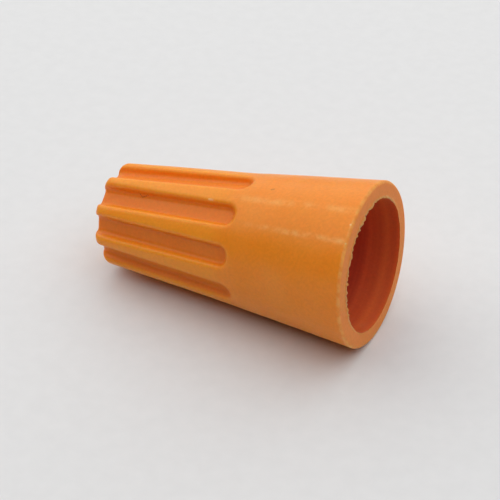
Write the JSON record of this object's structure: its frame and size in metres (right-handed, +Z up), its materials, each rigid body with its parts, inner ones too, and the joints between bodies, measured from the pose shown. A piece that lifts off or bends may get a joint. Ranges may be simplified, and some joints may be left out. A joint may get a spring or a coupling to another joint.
{
  "type": "twist-on wire connector",
  "caption": "Twist-on wire connector: a fluted tapered plastic shell, open at its wide mouth, with a conical square-wire spring held inside that threads onto twisted wire ends.",
  "frame": {"origin": "centre of the bounding box's base, on the surface that the connector lies on", "axes": "+X horizontal, towards the open mouth; +Z up; the connector lies on its rim and two ribs, so its own axis dips 6.03 degrees below horizontal towards the closed end"},
  "size_m": [0.0216, 0.012, 0.0119],
  "materials": {
    "shell_plastic": "satin orange moulded polypropylene",
    "spring_steel": "zinc-plated square spring wire"
  },
  "bodies": {
    "root": {"shell": "shell_plastic", "spring": "spring_steel"}
  },
  "joints": []
}
